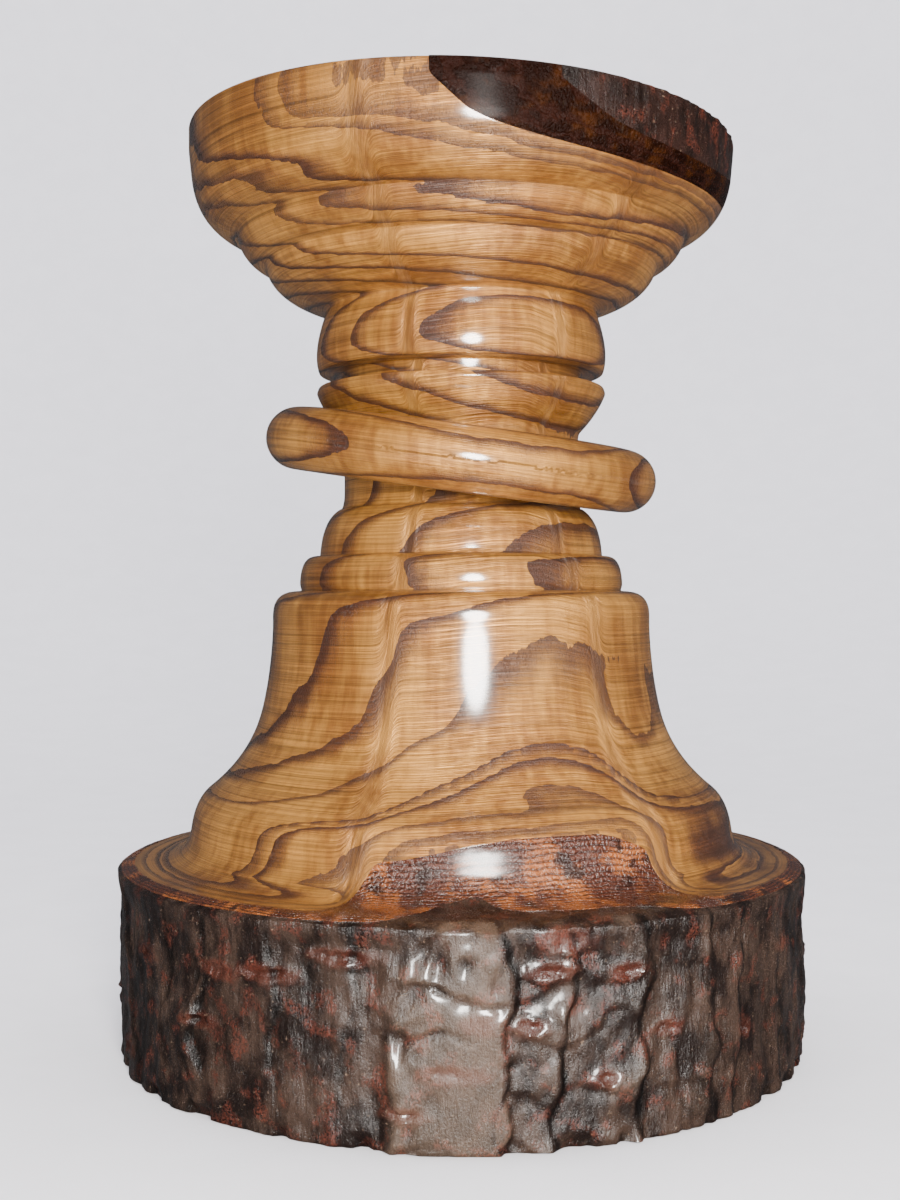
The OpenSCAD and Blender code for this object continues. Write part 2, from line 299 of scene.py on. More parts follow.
def bark_relief(bearing, z):
    """How high the bark stands over its mean in millimetres, how much of it is lenticel, and how much painted shade
    falls in the drop behind each ridge.
    """
    a = math.radians(bearing)
    spot = Vector((RELIEF_R * math.sin(a), -RELIEF_R * math.cos(a), z))
    upright = Vector((spot.x / 3.2, spot.y / 3.2, z / 9))
    rise = 0.42 * noise.noise(spot / 13) + 0.34 * noise.noise(upright) + 0.16 * noise.noise(2.3 * upright)
    rise += 0.15 * noise.noise(spot / 1.9) + 0.07 * noise.noise(spot / 0.8)
    wander = 2.2 * noise.noise(Vector((spot.x / 40, spot.y / 40, z / 8))) + 0.9 * noise.noise(spot / 3)
    fold = ridge_drop_shade = 0.0
    for number, (top, foot, height, width) in enumerate(FOLDS):
        off = turned_by(bearing, foot + (top - foot) * z / BASE_H + wander)
        if -width < off < 1.5:
            height *= 0.75 + 0.8 * noise.noise(Vector((number * 3.7, 0, z / 6)))
            shape = (1 + off / width) ** 1.5 if off < 0 else 1 - smooth(off, 0, 1.5)
            fold = max(fold, height * shape)
            # Painted shade: a narrow band just past each ridge's drop, laid into the bark's colour only; it moves no
            # geometry.
            ridge_drop_shade = max(ridge_drop_shade, height * math.exp(-((off - 0.9) / 0.8) ** 2))
    side = turned_by(bearing, 0)
    flap = smooth(side + wander, -12.5, -9.5) * (1 - smooth(side + wander, 4.0, 5.6))
    edge_z = 27 + 0.5 * (side + 10)
    flap *= 1 - smooth(z, edge_z - 0.6, edge_z + 0.4)
    crumple = 0.5 - abs(noise.noise(Vector((spot.x / 3.4, spot.y / 3.4, z / 4.6 + 5)))) * 1.8
    cork = 0.0
    for at, height, half_length, half_height in LENTICELS:
        along = math.radians(turned_by(bearing, at)) * RELIEF_R / half_length
        across = (z - height) / half_height
        if along * along + across * across < 4:
            ring = math.hypot(along, across) + 0.45 * noise.noise(spot / 1.1)
            cork = max(cork, math.exp(-(ring / 1.05) ** 6))
            fold += 0.38 * math.exp(-((ring - 0.85) / 0.28) ** 2) - 0.45 * math.exp(-(ring / 0.5) ** 2)
    chips = smooth(noise.noise(Vector((spot.x / 4, spot.y / 4, 3))), 0.1, 0.5) * (1 - smooth(z, 0.6, 2.6))
    lean = 1.3 - 1.1 * smooth(z, 8, 28)
    plate = (z + 5 * noise.noise(spot / 6)) / 7.5 % 1
    plates = 1.1 * (1 - plate) * smooth(plate, 0, 0.12) * smooth(side, -14, -4) * (1 - smooth(side, 34, 44))
    return rise + fold + flap * (lean + 0.8 * crumple) + plates * (0.35 + 0.65 * flap) - chips, cork, ridge_drop_shade


def bark_radius(bearing, z):
    """Radius of the outer bark, eased so that it stays inside the box of the designed part."""
    rise = bark_relief(bearing, z)[0]
    a = math.radians(bearing)
    box = min(BARK_REACH_X / max(abs(math.sin(a)), 1e-6), BARK_REACH_Y / max(abs(math.cos(a)), 1e-6), BASE_R + 0.9)
    near_top = smooth(z, 26, 29.5)
    room = box - (BARK_R + BARK_SWELL * near_top + rise * (1 - 0.6 * near_top))
    if room < 0.5:
        room = 0.5 * math.exp(room / 0.5 - 1)
    return box - room


# ---- mesh building

def grid_blank(rows, columns):
    """A flat grid whose lines across become rows and whose lines along become sections."""
    bm = bmesh.new()
    bmesh.ops.create_grid(bm, x_segments=columns, y_segments=rows - 1, size=1)
    return bm


def sectioned_piece(name, section, columns, start=0.0, sweep=360.0, closed=False, marks=None, sharp=38):
    """Builds a piece from its section at each bearing.

    section(bearing) gives (r, z) for each row; marks(bearing, r, z, along) gives the values of the
    piece's surface attributes by name.
    """
    rows = len(section(start)) + closed
    bm = grid_blank(rows, columns)
    names = list(marks(start, *section(start)[0], 0.0)) if marks else []
    layers = {key: bm.verts.layers.float.new(key) for key in names}
    sections = {}
    for vert in bm.verts:
        row = round((vert.co.y + 1) / 2 * (rows - 1))
        column = round((vert.co.x + 1) / 2 * columns)
        if column not in sections:
            bearing = start + column * sweep / columns
            points = section(bearing)
            points += points[:closed]
            along = [0.0]
            for a, b in zip(points, points[1:]):
                along.append(along[-1] + math.dist(a, b))
            sections[column] = (bearing, points, along)
        bearing, points, along = sections[column]
        r, z = points[row]
        a = math.radians(bearing)
        vert.co = (r * math.sin(a) * MM, -r * math.cos(a) * MM, z * MM)
        if marks:
            for key, value in marks(bearing, r, z, along[row]).items():
                vert[layers[key]] = value
    bmesh.ops.remove_doubles(bm, verts=bm.verts, dist=2e-6)
    bmesh.ops.dissolve_degenerate(bm, edges=bm.edges, dist=1e-7)
    bmesh.ops.recalc_face_normals(bm, faces=bm.faces)
    return finished(bm, name, sharp)


def finished(bm, name, sharp):
    """Turns a bmesh into an object at the origin, smooth but for edges sharper than the angle."""
    mesh = bpy.data.meshes.new(name)
    bm.to_mesh(mesh)
    bm.free()
    mesh.polygons.foreach_set("use_smooth", [True] * len(mesh.polygons))
    mesh.set_sharp_from_angle(angle=math.radians(sharp))
    piece = bpy.data.objects.new(name, mesh)
    bpy.context.scene.collection.objects.link(piece)
    return piece


def settle(piece, body, node, material):
    """Finishes a piece with its material and says where it belongs."""
    piece.data.materials.append(material)
    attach(piece, body)
    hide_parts(node)


def top_at(bearing, r):
    """Height of the sawn rim, which slopes down to the right."""
    return HEIGHT - r * math.sin(math.radians(bearing)) * RIM_SLOPE


def between(a, b, parts):
    return [(a[0] + (b[0] - a[0]) * t, a[1] + (b[1] - a[1]) * t) for t in parts]


# ---- sections of the pieces

MIDDLE = [CUT.at(place) for place in CUT.spread(ABOVE_SCAR, CUP_STEP, MIDDLE_ROWS)]
DISH = [(LANDING_R, LANDING_Z)] + bend((LANDING_R, LANDING_Z), (DISH_R - 6, LANDING_Z + 0.4), (DISH_R, HEIGHT), 30)
DISH += [(DISH_R + 1.5, HEIGHT + 3)]


def dish_z(r):
    """Height of the drip dish's floor at a radius."""
    for (r0, z0), (r1, z1) in zip(DISH, DISH[1:]):
        if r0 <= r <= r1 and r1 > r0:
            return z0 + (z1 - z0) * (r - r0) / (r1 - r0)
    return LANDING_Z if r < LANDING_R else HEIGHT + 3


def hidden_wall(r, top_z, parts, inwards=1.6):
    """A wall down from a cut edge, drawn in under the edge to leave the outer bark room for its hollows."""
    return [(r - inwards * smooth(top_z * t, top_z - 0.4, top_z - 1.8), top_z * t) for t in parts]


def wood_section(bearing):
    """One side of the turned wood, from the middle of the underside round to the screw's hole."""
    edge = base_wood(bearing)
    foot = CUT.where(lambda r, z: r - edge, BARK_TOP, WAIST)
    foot_z = CUT.at(foot)[1]
    rows = [(0, RECESS_DEPTH), (13, RECESS_DEPTH), (RECESS_R - 0.4, RECESS_DEPTH), (RECESS_R, RECESS_DEPTH - 0.4),
            (RECESS_R, 0.3), (RECESS_R + 0.3, 0)]
    rows += between((RECESS_R + 0.3, 0), (edge - 1.9, 0), (0.25, 0.5, 0.75, 1))
    rows += hidden_wall(edge, foot_z, (0.01, 0.5, 0.93, 0.985))
    rows += [CUT.at(foot + (ABOVE_SCAR - foot) * i / FOOT_ROWS) for i in range(FOOT_ROWS)]
    rows += MIDDLE
    bark = rim_wood(bearing)
    top = CUT.where(lambda r, z: top_at(bearing, r) - z, CUP_STEP, RIM_END)
    outer = min(bark, CUP_R)
    cut = min(top - 6, CUT.where(lambda r, z: bark - r, CUP_STEP, RIM_END))
    rows += [CUT.at(CUP_STEP + (cut - CUP_STEP) * i / CUP_ROWS) for i in range(CUP_ROWS + 1)]
    rim = top_at(bearing, outer)
    rows += between((outer, rows[-1][1]), (outer, rim - 0.3), (0.5, 1))
    rows += [(outer - 0.09, rim - 0.09), (outer - 0.3, top_at(bearing, outer - 0.3))]
    lip = DISH_R + 1.5
    for _ in range(40):
        lip -= 0.1
        if dish_z(lip) < top_at(bearing, lip):
            break
    for r in (outer * 0.5 + lip * 0.5, lip + 0.5):
        rows.append((r, top_at(bearing, r)))
    rows.append((lip + 0.1, top_at(bearing, lip) - 0.08))
    rows += [(r, dish_z(r)) for r in (lip - 0.3 + (LANDING_R - lip + 0.3) * (i / (DISH_ROWS - 1))
                                      for i in range(DISH_ROWS))]
    rows += [(SOCKET_R + 0.4, LANDING_Z), (SOCKET_R + 0.1, LANDING_Z - 0.1), (SOCKET_R, LANDING_Z - 0.4),
             (SOCKET_R, SHELF_Z), (WELL_R, SHELF_Z), (WELL_R, SOCKET_FLOOR_Z), (SCREW_HOLE_R, SOCKET_FLOOR_Z),
             (SCREW_HOLE_R, SCREW_HOLE_Z), (0, SCREW_HOLE_Z)]
    return rows


def phloem_section(bearing):
    """The inner bark of the base: a band on the lathe's cut, and the walls under it."""
    inside, outside = base_wood(bearing), base_phloem(bearing)
    inner = CUT.where(lambda r, z: r - inside, BARK_TOP, WAIST)
    outer = CUT.where(lambda r, z: r - outside, BARK_TOP, WAIST)
    a = math.radians(bearing)
    rows = []
    for i in range(PHLOEM_ROWS + 1):
        r, z = CUT.at(outer + (inner - outer) * i / PHLOEM_ROWS)
        ripple = 0.07 * noise.noise(Vector((r * math.sin(a) * 0.5, r * math.cos(a) * 0.5, z * 0.5)))
        rows.append((r, z + 0.05 + ripple * min(1, i / 3, (PHLOEM_ROWS - i) / 3)))
    rows += hidden_wall(inside, rows[-1][1], (0.985, 0.93, 0.5, 0))
    rows += hidden_wall(outside, rows[0][1], (0, 0.5, 0.93, 0.985))
    return rows


def bark_section(bearing):
    """The outer bark of the base: its rough face, the strip that the lathe cut, and the walls behind."""
    inside = base_phloem(bearing)
    inner = CUT.where(lambda r, z: r - inside, BARK_TOP, WAIST)
    edge_r = bark_radius(bearing, BASE_H - 2)
    outer = CUT.where(lambda r, z: r - edge_r, BARK_TOP, WAIST)
    edge_z = CUT.at(outer)[1]
    rows = [(bark_radius(bearing, 0.5) - 0.3, 0)]
    for i in range(BARK_ROWS + 1):
        z = 0.2 + (edge_z - 0.25) * i / BARK_ROWS
        rows.append((bark_radius(bearing, z), z))
    a = math.radians(bearing)
    for i in range(1, SAWN_ROWS + 1):
        r, z = CUT.at(outer + (inner - outer) * i / SAWN_ROWS)
        spot = Vector((r * math.sin(a), r * math.cos(a), z))
        rough = 0.22 * noise.noise(spot / 1.3) + 0.16 * noise.noise(spot / 3.1) - 0.08
        rows.append((r, z + rough * min(1, i / 2, (SAWN_ROWS - i) / 2)))
    rows += hidden_wall(inside, rows[-1][1], (0.985, 0.93, 0.5, 0))
    return rows


def rim_section(bearing, lowest, highest, natural):
    """A part of the rim's bark between two offsets from the wood, with its face on the lathe's cut."""
    top = CUT.where(lambda r, z: top_at(bearing, r) - z, CUP_STEP, RIM_END)
    inside = min(rim_wood(bearing) + lowest, CUP_R)
    outside = min(rim_wood(bearing) + highest, CUP_R)
    inner = min(top, CUT.where(lambda r, z: inside - r, CUP_STEP, RIM_END))
    outer = min(top, CUT.where(lambda r, z: outside - r, CUP_STEP, RIM_END))
    a = math.radians(bearing)
    rows = []
    for i in range(RIM_ROWS + 1):
        r, z = CUT.at(inner + (outer - inner) * i / RIM_ROWS)
        if natural:
            spot = Vector((r * math.sin(a), r * math.cos(a), z))
            fissure = 0.5 + 0.9 * noise.noise(Vector((spot.x / 1.6, spot.y / 1.6, z / 7)))
            fissure += 0.5 * noise.noise(spot / 1.1)
            r -= max(0, fissure) * smooth(bearing, 22, 36) * 0.5 * min(1, (r - inside) / 1.2)
            r -= 0.10 * max(0, 1 + noise.noise(spot / 2.2)) * min(1, (r - inside) / 0.8)
        rows.append((r, z))
    face_r = rows[-1][0]
    rim = top_at(bearing, face_r)
    rows += between(rows[-1], (face_r, rim), (0.5,))
    rows += between((face_r, rim), (inside, top_at(bearing, inside)), (0.02, 0.5, 1))
    rows += between((inside, top_at(bearing, inside)), rows[0], (0.35, 0.7))
    return rows


# ---- shader nodes

class Web:
    """Adds nodes to one tree and joins them."""

    def __init__(self, tree):
        self.tree = tree

    def feed(self, socket, value):
        if isinstance(value, bpy.types.NodeSocket):
            self.tree.links.new(value, socket)
        elif value is not None:
            if socket.type == "RGBA" and len(value) == 3:
                value = (*value, 1)
            socket.default_value = value

    def new_node(self, kind):
        """A node in the next place of a layout in rows of twelve."""
        node = self.tree.nodes.new("ShaderNode" + kind)
        row, column = divmod(len(self.tree.nodes), 12)
        node.location = (220 * column, -240 * row)
        return node

    def add(self, kind, *values, out=0, **settings):
        """Adds a node, feeds its inputs in order and gives one of its outputs."""
        node = self.new_node(kind)
        for key, value in settings.items():
            setattr(node, key, value)
        for socket, value in zip(node.inputs, values):
            self.feed(socket, value)
        return node.outputs[out]

    def math(self, operation, *values):
        return self.add("Math", *values, operation=operation)

    def times(self, first, second):
        return self.math("MULTIPLY", first, second)

    def plus(self, first, second):
        return self.math("ADD", first, second)

    def ramp(self, value, slope, start):
        """The value times a slope, from a start."""
        return self.math("MULTIPLY_ADD", value, slope, start)

    def rest(self, value):
        """What is left of one."""
        return self.math("SUBTRACT", 1.0, value)

    def scaled(self, vector, *factors):
        return self.add("VectorMath", vector, factors, operation="MULTIPLY")

    def step(self, value, low, high, start=0.0, end=1.0):
        """A smooth step of value from low to high."""
        return self.add("MapRange", value, low, high, start, end, interpolation_type="SMOOTHSTEP")

    def cloud(self, vector, scale=1.0, detail=2.0, rough=0.5):
        return self.add("TexNoise", vector, None, scale, detail, rough)

    def grain(self, place, fineness, detail, rough=0.5):
        """Noise stretched along some axes. Fineness is the count of clouds in a millimetre of each."""
        return self.cloud(self.scaled(place, *fineness), 1, detail, rough)

    def mix(self, factor, first, second, blend="MIX"):
        node = self.new_node("Mix")
        node.data_type = "RGBA"
        node.blend_type = blend
        for index, value in ((0, factor), (6, first), (7, second)):
            self.feed(node.inputs[index], value)
        return node.outputs[2]

    def shade(self, colour, amount):
        """Darkens a colour to the amount, 0 to 1."""
        return self.mix(1.0, colour, self.add("CombineColor", amount, amount, amount), "MULTIPLY")

    def mark(self, name):
        """The value of a surface attribute."""
        return self.add("Attribute", out=2, attribute_name=name)

    def place(self):
        """The point on the piece, in millimetres."""
        spot = self.add("TexCoord", out=3)
        return self.scaled(spot, 1000, 1000, 1000)


def node_group(name, inputs, outputs, build):
    """Makes a shader node group with named inputs and outputs, once."""
    if name in bpy.data.node_groups:
        return bpy.data.node_groups[name]
    tree = bpy.data.node_groups.new(name, "ShaderNodeTree")
    for socket, kind in inputs:
        tree.interface.new_socket(name=socket, in_out="INPUT", socket_type=kind)
    for socket, kind in outputs:
        tree.interface.new_socket(name=socket, in_out="OUTPUT", socket_type=kind)
    web = Web(tree)
    entry = tree.nodes.new("NodeGroupInput")
    leave = tree.nodes.new("NodeGroupOutput")
    results = build(web, {socket: entry.outputs[socket] for socket, kind in inputs})
    for (socket, kind), value in zip(outputs, results):
        tree.links.new(value, leave.inputs[socket])
    return tree


FLOAT, COLOUR, VECTOR = "NodeSocketFloat", "NodeSocketColor", "NodeSocketVector"


def wood_figure():
    """Node group: growth lines, rows of pores, fibres and lathe marks of a ring-porous wood."""
    def build(web, given):
        place = given["Place"]
        width = given["Year Width"]
        lathe = given["Lathe Marks"]
        slow = web.grain(place, (0.2, 0.2, 0.06), 2)
        quick = web.grain(place, (1.3, 1.3, 0.25), 2)
        wander = web.ramp(web.math("SUBTRACT", slow, 0.5), 0.9, web.times(web.math("SUBTRACT", quick, 0.5), 0.2))
        years = web.plus(given["Years"], web.math("DIVIDE", wander, width))
        year = web.math("FLOOR", years)
        part = web.math("SUBTRACT", years, year)
        gap = web.times(web.rest(part), width)
        past = web.times(part, width)
        chance = web.add("TexWhiteNoise", None, year, noise_dimensions="1D")
        zone = web.ramp(chance, 0.9, 0.7)
        porous = web.rest(web.step(web.math("DIVIDE", gap, zone), 0.0, 1.0))
        cells = web.add("TexVoronoi", web.scaled(place, 4.2, 4.2, 1.2), None, 1.0)
        stroke = web.rest(web.step(cells, 0.18, 0.5))
        pores = web.times(stroke, web.ramp(web.math("POWER", porous, 0.8), 0.95, 0.05))
        broad = web.step(width, 0.3, 2.4, 0.35, 1.0)
        porous = web.times(porous, broad)
        line = web.times(web.rest(web.step(gap, 0.15, 1.15)), web.step(past, 0.0, 0.3))
        line = web.times(line, web.ramp(broad, 0.4, 0.6))
        line = web.times(line, web.ramp(chance, 0.15, 0.8))
        late = web.rest(web.step(past, 0.0, 1.6))

        # Broad patches between light and dark wood: partly the wood's own tone, partly painted sheen standing in for
        # its chatoyance.
        shimmer = web.grain(place, (0.075, 0.075, 0.05), 3)
        bundles = web.grain(place, (0.7, 0.7, 0.05), 2)
        hairs = web.grain(place, (7.0, 7.0, 0.7), 2)
        tone = web.ramp(bundles, 0.35, web.times(shimmer, 0.65))
        ground = web.mix(web.step(tone, 0.36, 0.64), given["Light Wood"], given["Dark Wood"])
        ground = web.mix(web.times(late, 0.22), ground, given["Brown"])
        ground = web.mix(web.times(porous, web.ramp(chance, 0.3, 0.45)), ground, given["Brown"])
        ground = web.mix(web.times(pores, 0.5), ground, given["Line"])
        ground = web.mix(line, ground, given["Line"])

        x, y = (web.add("SeparateXYZ", place, out=i) for i in range(2))
        cut = web.add("CombineXYZ", web.times(x, 0.025), web.times(y, 0.025),
                      web.times(given["Along Cut"], 3.2))
        scratches = web.step(web.cloud(cut, 1, 4, 0.7), 0.36, 0.64)
        deep = web.add("TexNoise", None, given["Along Cut"], 1.1, 4.0, 0.75, noise_dimensions="1D")
        deep = web.step(deep, 0.57, 0.63)
        ground = web.shade(ground, web.ramp(hairs, 0.36, 0.82))
        ground = web.shade(ground, web.math("SUBTRACT", 1.2, web.times(scratches, web.times(lathe, 0.5))))
        ground = web.shade(ground, web.rest(web.times(deep, web.times(lathe, 0.34))))
        height = web.plus(web.times(pores, -0.05), web.times(scratches, web.times(lathe, -0.06)))
        height = web.plus(height, web.times(hairs, 0.012))
        rough = web.ramp(pores, 0.2, web.ramp(hairs, 0.15, 0.34))
        shine = web.times(web.rest(web.math("MAXIMUM", pores, line)), 0.52)
        return ground, rough, shine, height

    return node_group("Wood figure",
                      [("Place", VECTOR), ("Years", FLOAT), ("Year Width", FLOAT), ("Along Cut", FLOAT),
                       ("Light Wood", COLOUR), ("Dark Wood", COLOUR), ("Brown", COLOUR), ("Line", COLOUR),
                       ("Lathe Marks", FLOAT)],
                      [("Colour", COLOUR), ("Roughness", FLOAT), ("Shimmer", FLOAT), ("Height", FLOAT)], build)


def cork_figure():
    """Node group: flecks and cracks of natural bark, paler on its high ridges as a painted highlight and darker in
    its hollows as painted shade.
    """
    def build(web, given):
        place = given["Place"]
        rise = given["Rise"]
        patches = web.grain(place, (0.16, 0.16, 0.11), 3, 0.6)
        streaks = web.grain(place, (0.9, 0.9, 0.22), 4, 0.65)
        grit = web.grain(place, (3.4, 3.4, 3.0), 4, 0.7)
        flecks = web.grain(place, (1.6, 1.6, 1.9), 3, 0.6)
        colour = web.mix(web.step(patches, 0.40, 0.62), given["Dark"], given["Grey"])
        colour = web.mix(web.times(web.step(streaks, 0.50, 0.72), 0.65), colour, given["Dark"])
        red = web.times(web.step(web.grain(place, (0.3, 0.3, 0.3), 3), 0.53, 0.66),
                       web.step(grit, 0.42, 0.6))
        colour = web.mix(web.times(red, 0.75), colour, given["Red"])
        colour = web.mix(web.times(given["Cork"], 0.4), colour, given["Red"])
        colour = web.mix(web.times(web.step(flecks, 0.64, 0.74), 0.45), colour, given["Fleck"])
        # Painted highlight: high ridges are mixed toward the pale fleck colour, as if light caught their crests.
        colour = web.mix(web.times(web.step(rise, 0.5, 1.8), 0.14), colour, given["Fleck"])
        # Painted shade: low places, such as hollows, lenticel centres and the drop behind each ridge, are darkened.
        hollow_shade = web.rest(web.step(rise, -1.0, 0.3))
        colour = web.shade(colour, web.ramp(hollow_shade, -0.82, 1.0))
        colour = web.shade(colour, web.ramp(grit, 1.1, 0.45))
        height = web.plus(web.times(grit, 0.12), web.times(streaks, 0.35))
        rough = web.ramp(grit, 0.35, 0.12)
        wet = web.math("MAXIMUM", web.step(streaks, 0.62, 0.40, 0.1, 0.4), web.step(rise, 0.4, 1.3, 0.0, 0.7))
        return colour, rough, wet, height

    return node_group("Cork figure",
                      [("Place", VECTOR), ("Rise", FLOAT), ("Cork", FLOAT), ("Dark", COLOUR), ("Grey", COLOUR),
                       ("Red", COLOUR), ("Fleck", COLOUR)],
                      [("Colour", COLOUR), ("Roughness", FLOAT), ("Varnish", FLOAT), ("Height", FLOAT)], build)


def phloem_figure():
    """Node group: fine layers, orange patches and black spots of cut inner bark."""
    def build(web, given):
        place = given["Place"]
        wander = web.grain(place, (0.35, 0.35, 0.35), 3)
        fine = web.grain(place, (2.4, 2.4, 2.4), 3)
        depth = web.plus(given["Layer"], web.plus(web.times(wander, 1.1), web.times(fine, 0.16)))
        wave = web.math("SINE", web.times(depth, 8.6))
        lines = web.step(wave, 0.1, 0.95)
        patches = web.step(web.grain(place, (0.17, 0.17, 0.2), 3, 0.6), 0.47, 0.64)
        colour = web.mix(patches, given["Red"], given["Orange"])
        dark = web.step(web.grain(place, (0.24, 0.24, 0.24), 2), 0.57, 0.68)
        colour = web.mix(web.times(dark, 0.9), colour, given["Dark"])
        colour = web.mix(web.times(lines, 0.72), colour, given["Dark"])
        pale = web.step(web.grain(place, (1.1, 1.1, 0.35), 3, 0.6), 0.68, 0.74)
        colour = web.mix(web.times(pale, 0.6), colour, given["Pale"])
        colour = web.shade(colour, web.ramp(fine, 0.9, 0.55))
        height = web.plus(web.times(lines, -0.12), web.times(fine, 0.45))
        rough = web.ramp(fine, 0.3, 0.12)
        return colour, rough, height

    return node_group("Phloem figure",
                      [("Place", VECTOR), ("Layer", FLOAT), ("Red", COLOUR), ("Orange", COLOUR), ("Dark", COLOUR),
                       ("Pale", COLOUR)],
                      [("Colour", COLOUR), ("Roughness", FLOAT), ("Height", FLOAT)], build)


def new_material(name):
    """A material with its shader, and the web to add the rest to."""
    material = bpy.data.materials.new(name)
    material.use_nodes = True
    return material, Web(material.node_tree), material.node_tree.nodes["Principled BSDF"]


def bump(web, shader, height):
    """Gives a shader fine relief from a height in millimetres."""
    node = web.new_node("Bump")
    node.inputs["Distance"].default_value = MM
    web.feed(node.inputs["Height"], height)
    web.feed(shader.inputs["Normal"], node.outputs["Normal"])


def figured_material(name, figure, marks, values, specular, coat=None, coat_rough=0.12, coat_ior=1.5):
    """A material drawn by a node group. marks names the surface attribute behind each of its inputs."""
    material, web, shader = new_material(name)
    group = web.new_node("Group")
    group.node_tree = figure
    web.feed(group.inputs["Place"], web.place())
    for socket, mark in marks.items():
        web.feed(group.inputs[socket], web.mark(mark))
    for socket, value in values.items():
        web.feed(group.inputs[socket], value)
    for output, socket in (("Colour", "Base Color"), ("Roughness", "Roughness"), ("Shimmer", "Metallic"),
                           ("Varnish", "Coat Weight")):
        if output in group.outputs:
            web.feed(shader.inputs[socket], group.outputs[output])
    bump(web, shader, group.outputs["Height"])
    if coat is not None:
        shader.inputs["Coat Weight"].default_value = coat
    shader.inputs["Coat Roughness"].default_value = coat_rough
    shader.inputs["Coat IOR"].default_value = coat_ior
    shader.inputs["Specular IOR Level"].default_value = specular
    return material


def tinted(colour, tint):
    return [part * tint for part in colour]


def wood_material(name, settings, lathe=1.0, tint=1.0):
    return figured_material(
        name, wood_figure(), {"Years": "years", "Year Width": "year_width", "Along Cut": "along_cut"},
        {"Light Wood": tinted(settings.light_wood, tint), "Dark Wood": tinted(settings.dark_wood, tint),
         "Brown": settings.brown, "Line": settings.line, "Lathe Marks": settings.lathe_marks * lathe},
        specular=0.5, coat=0.8, coat_rough=settings.varnish_roughness)


def bark_material(name, settings, ground, specular):
    return figured_material(
        name, cork_figure(), {"Rise": "rise", "Cork": "cork"},
        {"Dark": settings.dark, "Grey": ground, "Red": settings.red, "Fleck": settings.fleck},
        specular, coat_rough=settings.varnish_roughness, coat_ior=1.45)


def phloem_material(name, settings, tint, specular, coat, gloss):
    return figured_material(
        name, phloem_figure(), {"Layer": "layer"},
        {"Red": tinted(settings.inner_red, tint), "Orange": tinted(settings.inner_orange, tint),
         "Dark": settings.inner_dark, "Pale": tinted(settings.fleck, tint)},
        specular, coat, gloss)


def metal_material(name, colour, tarnish, rough):
    material, web, shader = new_material(name)
    place = web.place()
    cloud = web.grain(place, (0.35, 0.35, 0.35), 4, 0.6)
    fine = web.grain(place, (2.5, 2.5, 9.0), 3, 0.6)
    web.feed(shader.inputs["Base Color"], web.mix(web.step(cloud, 0.42, 0.7), colour, tarnish))
    web.feed(shader.inputs["Roughness"], web.ramp(fine, 0.22, rough))
    bump(web, shader, web.times(fine, 0.02))
    shader.inputs["Metallic"].default_value = 1.0
    return material


# ---- settings

def colour(name, value, description):
    return FloatVectorProperty(name=name, description=description, default=value, subtype="COLOR", size=3,
                               min=0.0, max=1.0)


class WoodSettings(bpy.types.PropertyGroup):
    # Light and dark wood are mixed in broad patches that are partly the wood's own tone and partly painted sheen.
    light_wood: colour("Light wood", (0.49, 0.226, 0.044), "Golden ground of the wood")
    dark_wood: colour("Dark wood", (0.23, 0.088, 0.015), "Tan in the duller bands of the ground")
    brown: colour("Brown", (0.155, 0.048, 0.011), "Tint of the porous early wood")
    line: colour("Line", (0.030, 0.008, 0.003), "Growth lines and pores")
    lathe_marks: FloatProperty(name="Lathe marks", description="How plainly the tool's marks show", default=1.0,
                               min=0.0, max=2.0)
    varnish_roughness: FloatProperty(name="Varnish roughness", description="Gloss of the varnish", default=0.12,
                                     min=0.0, max=1.0)
    columns: IntProperty(name="Columns", description="Sections round the turned body", default=360, min=90, max=380)


class BarkSettings(bpy.types.PropertyGroup):
    dark: colour("Dark bark", (0.0065, 0.0033, 0.0024), "Bark in the hollows")
    grey: colour("Grey bark", (0.030, 0.0175, 0.012), "Weathered bark")
    red: colour("Red bark", (0.075, 0.017, 0.009), "Reddish flakes and lenticels")
    # The fleck colour is also laid on the high ridges as a painted highlight.
    fleck: colour("Flecks", (0.22, 0.15, 0.10), "Pale flecks and worn ridges")
    rim_bark: colour("Rim bark", (0.016, 0.007, 0.005), "Nearly black bark on the rim")
    inner_red: colour("Inner red", (0.055, 0.013, 0.0045), "Red-brown ground of the inner bark")
    inner_orange: colour("Inner orange", (0.22, 0.062, 0.011), "Orange patches of the inner bark")
    inner_dark: colour("Inner dark", (0.012, 0.0035, 0.002), "Dark layers of the inner bark")
    varnish_roughness: FloatProperty(name="Varnish roughness", description="Gloss of the varnish over the bark",
                                     default=0.16, min=0.0, max=1.0)
    columns: IntProperty(name="Columns", description="Sections round the bark", default=720, min=180, max=1000)


class MetalSettings(bpy.types.PropertyGroup):
    brass: colour("Brass", (0.78, 0.53, 0.22), "Polished brass")
    brass_tarnish: colour("Brass tarnish", (0.50, 0.31, 0.11), "Dull brass")
    steel: colour("Steel", (0.55, 0.56, 0.58), "Steel of the screw")
    steel_dull: colour("Dull steel", (0.33, 0.33, 0.35), "Dull zinc on the screw")


class StageSettings(bpy.types.PropertyGroup):
    paper: colour("Paper", (0.86, 0.85, 0.88), "Floor and backdrop")
    distance: FloatProperty(name="Camera distance", description="From the turning axis", default=0.2591,
                            unit="LENGTH", subtype="DISTANCE")
    height: FloatProperty(name="Camera height", description="Above the floor", default=0.07375,
                          unit="LENGTH", subtype="DISTANCE")
    lens: FloatProperty(name="Lens", description="Focal length on a 36 mm sensor", default=45.75,
                        unit="CAMERA")
    key_power: FloatProperty(name="Key light", description="Power of the small soft light by the camera",
                             default=6.4, unit="POWER")
    fill_power: FloatProperty(name="Fill light", description="Power of the wide light overhead", default=7.5,
                              unit="POWER")


# ---- operators

